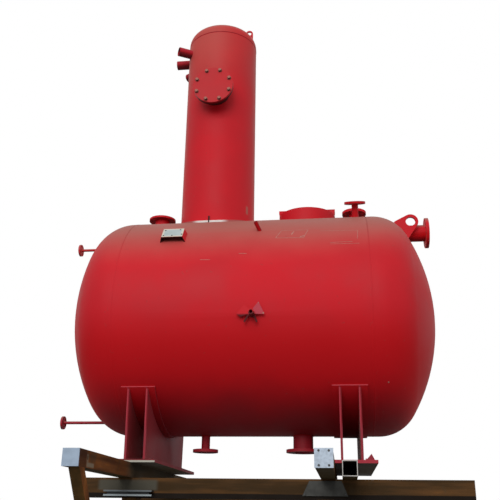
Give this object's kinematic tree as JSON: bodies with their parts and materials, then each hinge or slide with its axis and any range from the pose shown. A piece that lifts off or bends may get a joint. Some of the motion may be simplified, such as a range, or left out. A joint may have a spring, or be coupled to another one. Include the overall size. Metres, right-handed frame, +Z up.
{
  "type": "deaerator",
  "caption": "Thermal deaerator: horizontal dished storage tank with a degassing tower, flanged nozzles, manway, saddles and a steel stand on posts",
  "frame": {"origin": "on the ground under the middle of the tank barrel", "axes": "+Z up, X along the tank with the tower towards -X, front of the tank at -Y"},
  "size_m": [2.84, 3.142, 5.668],
  "materials": {
    "red_paint": "oxide red paint, satin, dusty on top",
    "white_weld": "chalky white coating over a weld",
    "nameplate_metal": "dull blank plate",
    "rusty_beam": "rusted brown steel",
    "blue_cap": "pale blue grey paint",
    "galvanised": "galvanised steel",
    "dark_steel": "dark grey paint"
  },
  "bodies": {
    "root": {"tank_shell": "red_paint", "tank_head_left": "red_paint", "tank_head_right": "red_paint", "tower_shell": "red_paint", "tower_head": "red_paint", "tower_foot_weld": "white_weld", "handhole_neck": "red_paint", "handhole_cover": "red_paint", "tower_stub_front": "red_paint", "tower_stub_left": "red_paint", "tower_stub_rear": "red_paint", "tower_eye": "red_paint", "manway_collar": "red_paint", "manway_cover": "red_paint", "manway_yoke": "red_paint", "top_left_nozzle": "red_paint", "top_right_nozzle": "red_paint", "small_top_nozzle": "red_paint", "right_head_nozzle": "red_paint", "upper_gauge_nozzle": "red_paint", "lower_gauge_nozzle": "red_paint", "bottom_left_nozzle": "red_paint", "bottom_right_nozzle": "red_paint", "head_lifting_lug": "red_paint", "angled_socket": "red_paint", "front_socket": "red_paint", "nameplate_bracket": "red_paint", "nameplate": "nameplate_metal", "saddle_left": "red_paint", "saddle_right": "red_paint", "cross_beam_left": "rusty_beam", "cross_beam_right": "rusty_beam", "bracket_beam": "rusty_beam", "left_end_cap": "blue_cap", "right_end_cap": "galvanised", "long_beam_front": "rusty_beam", "long_beam_back": "rusty_beam", "front_shelf": "dark_steel", "front_gusset": "dark_steel", "post_front_left": "rusty_beam", "post_front_right": "rusty_beam", "post_back_left": "rusty_beam", "post_back_right": "rusty_beam", "knee_brace_front": "rusty_beam", "knee_brace_back": "rusty_beam"}
  },
  "joints": []
}
